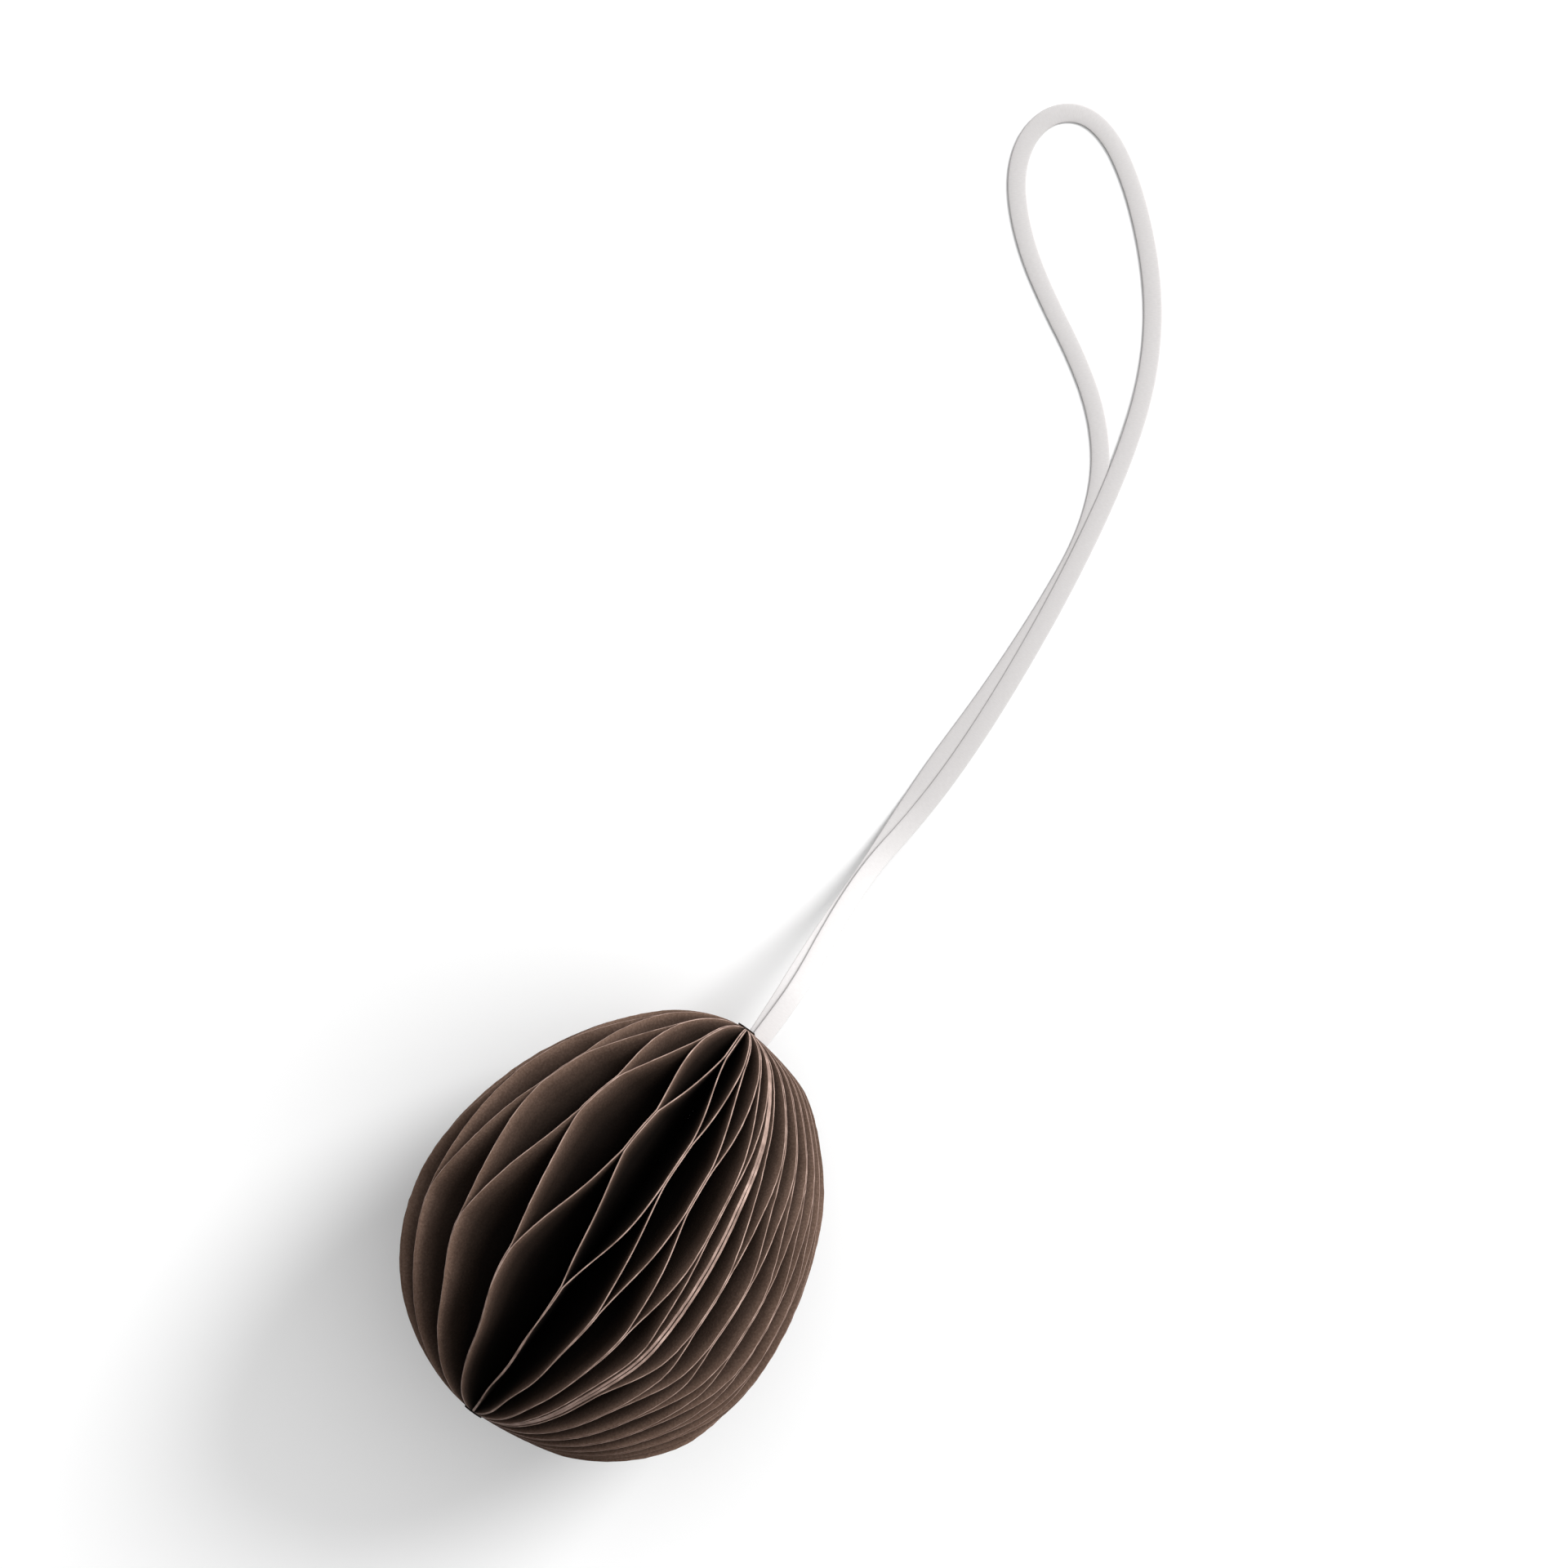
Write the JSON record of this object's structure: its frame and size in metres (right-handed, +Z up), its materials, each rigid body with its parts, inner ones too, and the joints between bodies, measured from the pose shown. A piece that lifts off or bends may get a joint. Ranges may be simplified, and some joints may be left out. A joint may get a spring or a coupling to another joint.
{
  "type": "paper honeycomb egg ornament",
  "caption": "Egg-shaped ornament of fanned paper honeycomb leaves between two boards, hinged at the spine so that it folds flat, with a doubled ribbon loop to hang it by.",
  "frame": {"origin": "on the surface under the middle of the egg's box, the ribbon left out", "axes": "+Z up from the surface that the egg lies on, +Y along the egg towards its narrow, ribbon end seen from above, +X to the right of it"},
  "size_m": [0.0824, 0.2242, 0.0627],
  "materials": {
    "leaf_paper": "matt, with paler cut edges",
    "cover_board": "matt board",
    "adhesive": "clear tacky film",
    "ribbon": "satin weave"
  },
  "bodies": {
    "leaf_28": {"leaf_28": "leaf_paper", "ribbon_loop": "ribbon", "ribbon_tails": "ribbon"},
    "leaf_29": {"leaf_29": "leaf_paper"},
    "leaf_30": {"leaf_30": "leaf_paper"},
    "leaf_31": {"leaf_31": "leaf_paper"},
    "leaf_32": {"leaf_32": "leaf_paper"},
    "leaf_33": {"leaf_33": "leaf_paper"},
    "leaf_34": {"leaf_34": "leaf_paper"},
    "leaf_35": {"leaf_35": "leaf_paper"},
    "leaf_36": {"leaf_36": "leaf_paper"},
    "leaf_37": {"leaf_37": "leaf_paper"},
    "leaf_38": {"leaf_38": "leaf_paper"},
    "leaf_39": {"leaf_39": "leaf_paper"},
    "leaf_40": {"leaf_40": "leaf_paper"},
    "leaf_41": {"leaf_41": "leaf_paper"},
    "leaf_42": {"leaf_42": "leaf_paper"},
    "leaf_43": {"leaf_43": "leaf_paper"},
    "leaf_44": {"leaf_44": "leaf_paper"},
    "leaf_45": {"leaf_45": "leaf_paper"},
    "leaf_46": {"leaf_46": "leaf_paper"},
    "leaf_47": {"leaf_47": "leaf_paper"},
    "leaf_48": {"leaf_48": "leaf_paper"},
    "leaf_49": {"leaf_49": "leaf_paper"},
    "leaf_50": {"leaf_50": "leaf_paper"},
    "leaf_51": {"leaf_51": "leaf_paper"},
    "leaf_52": {"leaf_52": "leaf_paper"},
    "leaf_53": {"leaf_53": "leaf_paper"},
    "leaf_54": {"leaf_54": "leaf_paper"},
    "leaf_55": {"leaf_55": "leaf_paper"},
    "last_board": {"last_board": "cover_board"},
    "leaf_27": {"leaf_27": "leaf_paper"},
    "leaf_26": {"leaf_26": "leaf_paper"},
    "leaf_25": {"leaf_25": "leaf_paper"},
    "leaf_24": {"leaf_24": "leaf_paper"},
    "leaf_23": {"leaf_23": "leaf_paper"},
    "leaf_22": {"leaf_22": "leaf_paper"},
    "leaf_21": {"leaf_21": "leaf_paper"},
    "leaf_20": {"leaf_20": "leaf_paper"},
    "leaf_19": {"leaf_19": "leaf_paper"},
    "leaf_18": {"leaf_18": "leaf_paper"},
    "leaf_17": {"leaf_17": "leaf_paper"},
    "leaf_16": {"leaf_16": "leaf_paper"},
    "leaf_15": {"leaf_15": "leaf_paper"},
    "leaf_14": {"leaf_14": "leaf_paper"},
    "leaf_13": {"leaf_13": "leaf_paper"},
    "leaf_12": {"leaf_12": "leaf_paper"},
    "leaf_11": {"leaf_11": "leaf_paper"},
    "leaf_10": {"leaf_10": "leaf_paper"},
    "leaf_09": {"leaf_09": "leaf_paper"},
    "leaf_08": {"leaf_08": "leaf_paper"},
    "leaf_07": {"leaf_07": "leaf_paper"},
    "leaf_06": {"leaf_06": "leaf_paper"},
    "leaf_05": {"leaf_05": "leaf_paper"},
    "leaf_04": {"leaf_04": "leaf_paper"},
    "leaf_03": {"leaf_03": "leaf_paper"},
    "leaf_02": {"leaf_02": "leaf_paper"},
    "leaf_01": {"leaf_01": "leaf_paper"},
    "first_board": {"first_board": "cover_board", "closing_dots": "adhesive"}
  },
  "joints": [
    {"name": "leaf_29_hinge", "type": "hinge", "parent": "leaf_28", "child": "leaf_29", "pos_m": [-0.00069, -0.00022, 0.02889], "axis": [0, -0.9737, 0.2279], "range_deg": [0, 2.41]},
    {"name": "leaf_30_hinge", "type": "hinge", "parent": "leaf_29", "child": "leaf_30", "pos_m": [-0.00093, -0.0002, 0.02901], "axis": [0, -0.9737, 0.2279], "range_deg": [0, 2.41]},
    {"name": "leaf_31_hinge", "type": "hinge", "parent": "leaf_30", "child": "leaf_31", "pos_m": [-0.00116, -0.00017, 0.02914], "axis": [0, -0.9737, 0.2279], "range_deg": [0, 2.41]},
    {"name": "leaf_32_hinge", "type": "hinge", "parent": "leaf_31", "child": "leaf_32", "pos_m": [-0.00139, -0.00013, 0.02928], "axis": [0, -0.9737, 0.2279], "range_deg": [0, 2.41]},
    {"name": "leaf_33_hinge", "type": "hinge", "parent": "leaf_32", "child": "leaf_33", "pos_m": [-0.00162, -0.0001, 0.02943], "axis": [0, -0.9737, 0.2279], "range_deg": [0, 2.41]},
    {"name": "leaf_34_hinge", "type": "hinge", "parent": "leaf_33", "child": "leaf_34", "pos_m": [-0.00183, -0.00006, 0.02958], "axis": [0, -0.9737, 0.2279], "range_deg": [0, 2.41]},
    {"name": "leaf_35_hinge", "type": "hinge", "parent": "leaf_34", "child": "leaf_35", "pos_m": [-0.00204, -0.00002, 0.02975], "axis": [0, -0.9737, 0.2279], "range_deg": [0, 2.41]},
    {"name": "leaf_36_hinge", "type": "hinge", "parent": "leaf_35", "child": "leaf_36", "pos_m": [-0.00225, 0.00002, 0.02992], "axis": [0, -0.9737, 0.2279], "range_deg": [0, 2.41]},
    {"name": "leaf_37_hinge", "type": "hinge", "parent": "leaf_36", "child": "leaf_37", "pos_m": [-0.00244, 0.00006, 0.0301], "axis": [0, -0.9737, 0.2279], "range_deg": [0, 2.41]},
    {"name": "leaf_38_hinge", "type": "hinge", "parent": "leaf_37", "child": "leaf_38", "pos_m": [-0.00263, 0.0001, 0.03029], "axis": [0, -0.9737, 0.2279], "range_deg": [0, 10.44]},
    {"name": "leaf_39_hinge", "type": "hinge", "parent": "leaf_38", "child": "leaf_39", "pos_m": [-0.00278, 0.00016, 0.03051], "axis": [0, -0.9737, 0.2279], "range_deg": [0, 10.44]},
    {"name": "leaf_40_hinge", "type": "hinge", "parent": "leaf_39", "child": "leaf_40", "pos_m": [-0.00288, 0.00021, 0.03075], "axis": [0, -0.9737, 0.2279], "range_deg": [0, 10.44]},
    {"name": "leaf_41_hinge", "type": "hinge", "parent": "leaf_40", "child": "leaf_41", "pos_m": [-0.00294, 0.00027, 0.03101], "axis": [0, -0.9737, 0.2279], "range_deg": [0, 10.44]},
    {"name": "leaf_42_hinge", "type": "hinge", "parent": "leaf_41", "child": "leaf_42", "pos_m": [-0.00295, 0.00033, 0.03127], "axis": [0, -0.9737, 0.2279], "range_deg": [0, 10.65]},
    {"name": "leaf_43_hinge", "type": "hinge", "parent": "leaf_42", "child": "leaf_43", "pos_m": [-0.00291, 0.00039, 0.03153], "axis": [0, -0.9737, 0.2279], "range_deg": [0, 10.65]},
    {"name": "leaf_44_hinge", "type": "hinge", "parent": "leaf_43", "child": "leaf_44", "pos_m": [-0.00282, 0.00045, 0.03178], "axis": [0, -0.9737, 0.2279], "range_deg": [0, 10.65]},
    {"name": "leaf_45_hinge", "type": "hinge", "parent": "leaf_44", "child": "leaf_45", "pos_m": [-0.00269, 0.00051, 0.03201], "axis": [0, -0.9737, 0.2279], "range_deg": [0, 10.65]},
    {"name": "leaf_46_hinge", "type": "hinge", "parent": "leaf_45", "child": "leaf_46", "pos_m": [-0.00251, 0.00055, 0.03221], "axis": [0, -0.9737, 0.2279], "range_deg": [0, 10.65]},
    {"name": "leaf_47_hinge", "type": "hinge", "parent": "leaf_46", "child": "leaf_47", "pos_m": [-0.0023, 0.00059, 0.03237], "axis": [0, -0.9737, 0.2279], "range_deg": [0, 10.65]},
    {"name": "leaf_48_hinge", "type": "hinge", "parent": "leaf_47", "child": "leaf_48", "pos_m": [-0.00206, 0.00062, 0.0325], "axis": [0, -0.9737, 0.2279], "range_deg": [0, 10.65]},
    {"name": "leaf_49_hinge", "type": "hinge", "parent": "leaf_48", "child": "leaf_49", "pos_m": [-0.00181, 0.00064, 0.03258], "axis": [0, -0.9737, 0.2279], "range_deg": [0, 9.35]},
    {"name": "leaf_50_hinge", "type": "hinge", "parent": "leaf_49", "child": "leaf_50", "pos_m": [-0.00154, 0.00065, 0.03261], "axis": [0, -0.9737, 0.2279], "range_deg": [0, 9.35]},
    {"name": "leaf_51_hinge", "type": "hinge", "parent": "leaf_50", "child": "leaf_51", "pos_m": [-0.00127, 0.00065, 0.03261], "axis": [0, -0.9737, 0.2279], "range_deg": [0, 5.25]},
    {"name": "leaf_52_hinge", "type": "hinge", "parent": "leaf_51", "child": "leaf_52", "pos_m": [-0.001, 0.00064, 0.03258], "axis": [0, -0.9737, 0.2279], "range_deg": [0, 5.25]},
    {"name": "leaf_53_hinge", "type": "hinge", "parent": "leaf_52", "child": "leaf_53", "pos_m": [-0.00074, 0.00063, 0.03253], "axis": [0, -0.9737, 0.2279], "range_deg": [0, 5.25]},
    {"name": "leaf_54_hinge", "type": "hinge", "parent": "leaf_53", "child": "leaf_54", "pos_m": [-0.00048, 0.00061, 0.03245], "axis": [0, -0.9737, 0.2279], "range_deg": [0, 5.25]},
    {"name": "leaf_55_hinge", "type": "hinge", "parent": "leaf_54", "child": "leaf_55", "pos_m": [-0.00023, 0.00059, 0.03235], "axis": [0, -0.9737, 0.2279], "range_deg": [0, 2.45]},
    {"name": "last_board_hinge", "type": "hinge", "parent": "leaf_55", "child": "last_board", "pos_m": [0.00002, 0.00056, 0.03224], "axis": [0, -0.9737, 0.2279], "range_deg": [0, 2.45]},
    {"name": "leaf_27_hinge", "type": "hinge", "parent": "leaf_28", "child": "leaf_27", "pos_m": [-0.00044, -0.00025, 0.02878], "axis": [0, 0.9737, -0.2279], "range_deg": [0, 2.41]},
    {"name": "leaf_26_hinge", "type": "hinge", "parent": "leaf_27", "child": "leaf_26", "pos_m": [-0.00019, -0.00027, 0.02869], "axis": [0, 0.9737, -0.2279], "range_deg": [0, 2.41]},
    {"name": "leaf_25_hinge", "type": "hinge", "parent": "leaf_26", "child": "leaf_25", "pos_m": [0.00006, -0.00029, 0.0286], "axis": [0, 0.9737, -0.2279], "range_deg": [0, 2.41]},
    {"name": "leaf_24_hinge", "type": "hinge", "parent": "leaf_25", "child": "leaf_24", "pos_m": [0.00032, -0.00031, 0.02852], "axis": [0, 0.9737, -0.2279], "range_deg": [0, 2.41]},
    {"name": "leaf_23_hinge", "type": "hinge", "parent": "leaf_24", "child": "leaf_23", "pos_m": [0.00058, -0.00033, 0.02845], "axis": [0, 0.9737, -0.2279], "range_deg": [0, 2.41]},
    {"name": "leaf_22_hinge", "type": "hinge", "parent": "leaf_23", "child": "leaf_22", "pos_m": [0.00085, -0.00034, 0.0284], "axis": [0, 0.9737, -0.2279], "range_deg": [0, 2.41]},
    {"name": "leaf_21_hinge", "type": "hinge", "parent": "leaf_22", "child": "leaf_21", "pos_m": [0.00111, -0.00035, 0.02835], "axis": [0, 0.9737, -0.2279], "range_deg": [0, 2.41]},
    {"name": "leaf_20_hinge", "type": "hinge", "parent": "leaf_21", "child": "leaf_20", "pos_m": [0.00138, -0.00036, 0.02831], "axis": [0, 0.9737, -0.2279], "range_deg": [0, 2.41]},
    {"name": "leaf_19_hinge", "type": "hinge", "parent": "leaf_20", "child": "leaf_19", "pos_m": [0.00165, -0.00036, 0.02829], "axis": [0, 0.9737, -0.2279], "range_deg": [0, 2.41]},
    {"name": "leaf_18_hinge", "type": "hinge", "parent": "leaf_19", "child": "leaf_18", "pos_m": [0.00192, -0.00037, 0.02828], "axis": [0, 0.9737, -0.2279], "range_deg": [0, 2.41]},
    {"name": "leaf_17_hinge", "type": "hinge", "parent": "leaf_18", "child": "leaf_17", "pos_m": [0.00219, -0.00037, 0.02828], "axis": [0, 0.9737, -0.2279], "range_deg": [0, 17.2]},
    {"name": "leaf_16_hinge", "type": "hinge", "parent": "leaf_17", "child": "leaf_16", "pos_m": [0.00245, -0.00035, 0.02835], "axis": [0, 0.9737, -0.2279], "range_deg": [0, 17.2]},
    {"name": "leaf_15_hinge", "type": "hinge", "parent": "leaf_16", "child": "leaf_15", "pos_m": [0.00267, -0.00032, 0.0285], "axis": [0, 0.9737, -0.2279], "range_deg": [0, 17.2]},
    {"name": "leaf_14_hinge", "type": "hinge", "parent": "leaf_15", "child": "leaf_14", "pos_m": [0.00284, -0.00027, 0.02871], "axis": [0, 0.9737, -0.2279], "range_deg": [0, 17.2]},
    {"name": "leaf_13_hinge", "type": "hinge", "parent": "leaf_14", "child": "leaf_13", "pos_m": [0.00294, -0.00021, 0.02895], "axis": [0, 0.9737, -0.2279], "range_deg": [0, 17.2]},
    {"name": "leaf_12_hinge", "type": "hinge", "parent": "leaf_13", "child": "leaf_12", "pos_m": [0.00296, -0.00015, 0.02921], "axis": [0, 0.9737, -0.2279], "range_deg": [0, 17.2]},
    {"name": "leaf_11_hinge", "type": "hinge", "parent": "leaf_12", "child": "leaf_11", "pos_m": [0.0029, -0.00009, 0.02947], "axis": [0, 0.9737, -0.2279], "range_deg": [0, 4.17]},
    {"name": "leaf_10_hinge", "type": "hinge", "parent": "leaf_11", "child": "leaf_10", "pos_m": [0.00282, -0.00003, 0.02972], "axis": [0, 0.9737, -0.2279], "range_deg": [0, 4.17]},
    {"name": "leaf_09_hinge", "type": "hinge", "parent": "leaf_10", "child": "leaf_09", "pos_m": [0.00272, 0.00003, 0.02996], "axis": [0, 0.9737, -0.2279], "range_deg": [0, 4.17]},
    {"name": "leaf_08_hinge", "type": "hinge", "parent": "leaf_09", "child": "leaf_08", "pos_m": [0.00261, 0.00008, 0.0302], "axis": [0, 0.9737, -0.2279], "range_deg": [0, 4.17]},
    {"name": "leaf_07_hinge", "type": "hinge", "parent": "leaf_08", "child": "leaf_07", "pos_m": [0.00247, 0.00014, 0.03043], "axis": [0, 0.9737, -0.2279], "range_deg": [0, 4.17]},
    {"name": "leaf_06_hinge", "type": "hinge", "parent": "leaf_07", "child": "leaf_06", "pos_m": [0.00232, 0.00019, 0.03065], "axis": [0, 0.9737, -0.2279], "range_deg": [0, 4.17]},
    {"name": "leaf_05_hinge", "type": "hinge", "parent": "leaf_06", "child": "leaf_05", "pos_m": [0.00216, 0.00024, 0.03086], "axis": [0, 0.9737, -0.2279], "range_deg": [0, 4.17]},
    {"name": "leaf_04_hinge", "type": "hinge", "parent": "leaf_05", "child": "leaf_04", "pos_m": [0.00198, 0.00028, 0.03105], "axis": [0, 0.9737, -0.2279], "range_deg": [0, 4.17]},
    {"name": "leaf_03_hinge", "type": "hinge", "parent": "leaf_04", "child": "leaf_03", "pos_m": [0.00178, 0.00032, 0.03123], "axis": [0, 0.9737, -0.2279], "range_deg": [0, 4.17]},
    {"name": "leaf_02_hinge", "type": "hinge", "parent": "leaf_03", "child": "leaf_02", "pos_m": [0.00157, 0.00036, 0.0314], "axis": [0, 0.9737, -0.2279], "range_deg": [0, 4.17]},
    {"name": "leaf_01_hinge", "type": "hinge", "parent": "leaf_02", "child": "leaf_01", "pos_m": [0.00135, 0.0004, 0.03155], "axis": [0, 0.9737, -0.2279], "range_deg": [0, 4.17]},
    {"name": "first_board_hinge", "type": "hinge", "parent": "leaf_01", "child": "first_board", "pos_m": [0.00112, 0.00043, 0.03169], "axis": [0, 0.9737, -0.2279], "range_deg": [0, 4.17]}
  ],
  "couplings": [
    {"joint": "leaf_30_hinge", "follows": "leaf_29_hinge", "ratio": 1},
    {"joint": "leaf_31_hinge", "follows": "leaf_29_hinge", "ratio": 1},
    {"joint": "leaf_32_hinge", "follows": "leaf_29_hinge", "ratio": 1},
    {"joint": "leaf_33_hinge", "follows": "leaf_29_hinge", "ratio": 1},
    {"joint": "leaf_34_hinge", "follows": "leaf_29_hinge", "ratio": 1},
    {"joint": "leaf_35_hinge", "follows": "leaf_29_hinge", "ratio": 1},
    {"joint": "leaf_36_hinge", "follows": "leaf_29_hinge", "ratio": 1},
    {"joint": "leaf_37_hinge", "follows": "leaf_29_hinge", "ratio": 1},
    {"joint": "leaf_38_hinge", "follows": "leaf_29_hinge", "ratio": 4.3308},
    {"joint": "leaf_39_hinge", "follows": "leaf_29_hinge", "ratio": 4.3308},
    {"joint": "leaf_40_hinge", "follows": "leaf_29_hinge", "ratio": 4.3308},
    {"joint": "leaf_41_hinge", "follows": "leaf_29_hinge", "ratio": 4.3308},
    {"joint": "leaf_42_hinge", "follows": "leaf_29_hinge", "ratio": 4.4162},
    {"joint": "leaf_43_hinge", "follows": "leaf_29_hinge", "ratio": 4.4162},
    {"joint": "leaf_44_hinge", "follows": "leaf_29_hinge", "ratio": 4.4162},
    {"joint": "leaf_45_hinge", "follows": "leaf_29_hinge", "ratio": 4.4162},
    {"joint": "leaf_46_hinge", "follows": "leaf_29_hinge", "ratio": 4.4162},
    {"joint": "leaf_47_hinge", "follows": "leaf_29_hinge", "ratio": 4.4162},
    {"joint": "leaf_48_hinge", "follows": "leaf_29_hinge", "ratio": 4.4162},
    {"joint": "leaf_49_hinge", "follows": "leaf_29_hinge", "ratio": 3.8771},
    {"joint": "leaf_50_hinge", "follows": "leaf_29_hinge", "ratio": 3.8771},
    {"joint": "leaf_51_hinge", "follows": "leaf_29_hinge", "ratio": 2.177},
    {"joint": "leaf_52_hinge", "follows": "leaf_29_hinge", "ratio": 2.177},
    {"joint": "leaf_53_hinge", "follows": "leaf_29_hinge", "ratio": 2.177},
    {"joint": "leaf_54_hinge", "follows": "leaf_29_hinge", "ratio": 2.177},
    {"joint": "leaf_55_hinge", "follows": "leaf_29_hinge", "ratio": 1.0159},
    {"joint": "last_board_hinge", "follows": "leaf_29_hinge", "ratio": 1.0159},
    {"joint": "leaf_27_hinge", "follows": "leaf_29_hinge", "ratio": 1},
    {"joint": "leaf_26_hinge", "follows": "leaf_29_hinge", "ratio": 1},
    {"joint": "leaf_25_hinge", "follows": "leaf_29_hinge", "ratio": 1},
    {"joint": "leaf_24_hinge", "follows": "leaf_29_hinge", "ratio": 1},
    {"joint": "leaf_23_hinge", "follows": "leaf_29_hinge", "ratio": 1},
    {"joint": "leaf_22_hinge", "follows": "leaf_29_hinge", "ratio": 1},
    {"joint": "leaf_21_hinge", "follows": "leaf_29_hinge", "ratio": 1},
    {"joint": "leaf_20_hinge", "follows": "leaf_29_hinge", "ratio": 1},
    {"joint": "leaf_19_hinge", "follows": "leaf_29_hinge", "ratio": 1},
    {"joint": "leaf_18_hinge", "follows": "leaf_29_hinge", "ratio": 1},
    {"joint": "leaf_17_hinge", "follows": "leaf_29_hinge", "ratio": 7.1331},
    {"joint": "leaf_16_hinge", "follows": "leaf_29_hinge", "ratio": 7.1331},
    {"joint": "leaf_15_hinge", "follows": "leaf_29_hinge", "ratio": 7.1331},
    {"joint": "leaf_14_hinge", "follows": "leaf_29_hinge", "ratio": 7.1331},
    {"joint": "leaf_13_hinge", "follows": "leaf_29_hinge", "ratio": 7.1331},
    {"joint": "leaf_12_hinge", "follows": "leaf_29_hinge", "ratio": 7.1331},
    {"joint": "leaf_11_hinge", "follows": "leaf_29_hinge", "ratio": 1.7291},
    {"joint": "leaf_10_hinge", "follows": "leaf_29_hinge", "ratio": 1.7291},
    {"joint": "leaf_09_hinge", "follows": "leaf_29_hinge", "ratio": 1.7291},
    {"joint": "leaf_08_hinge", "follows": "leaf_29_hinge", "ratio": 1.7291},
    {"joint": "leaf_07_hinge", "follows": "leaf_29_hinge", "ratio": 1.7291},
    {"joint": "leaf_06_hinge", "follows": "leaf_29_hinge", "ratio": 1.7291},
    {"joint": "leaf_05_hinge", "follows": "leaf_29_hinge", "ratio": 1.7291},
    {"joint": "leaf_04_hinge", "follows": "leaf_29_hinge", "ratio": 1.7291},
    {"joint": "leaf_03_hinge", "follows": "leaf_29_hinge", "ratio": 1.7291},
    {"joint": "leaf_02_hinge", "follows": "leaf_29_hinge", "ratio": 1.7291},
    {"joint": "leaf_01_hinge", "follows": "leaf_29_hinge", "ratio": 1.7291},
    {"joint": "first_board_hinge", "follows": "leaf_29_hinge", "ratio": 1.7291}
  ]
}
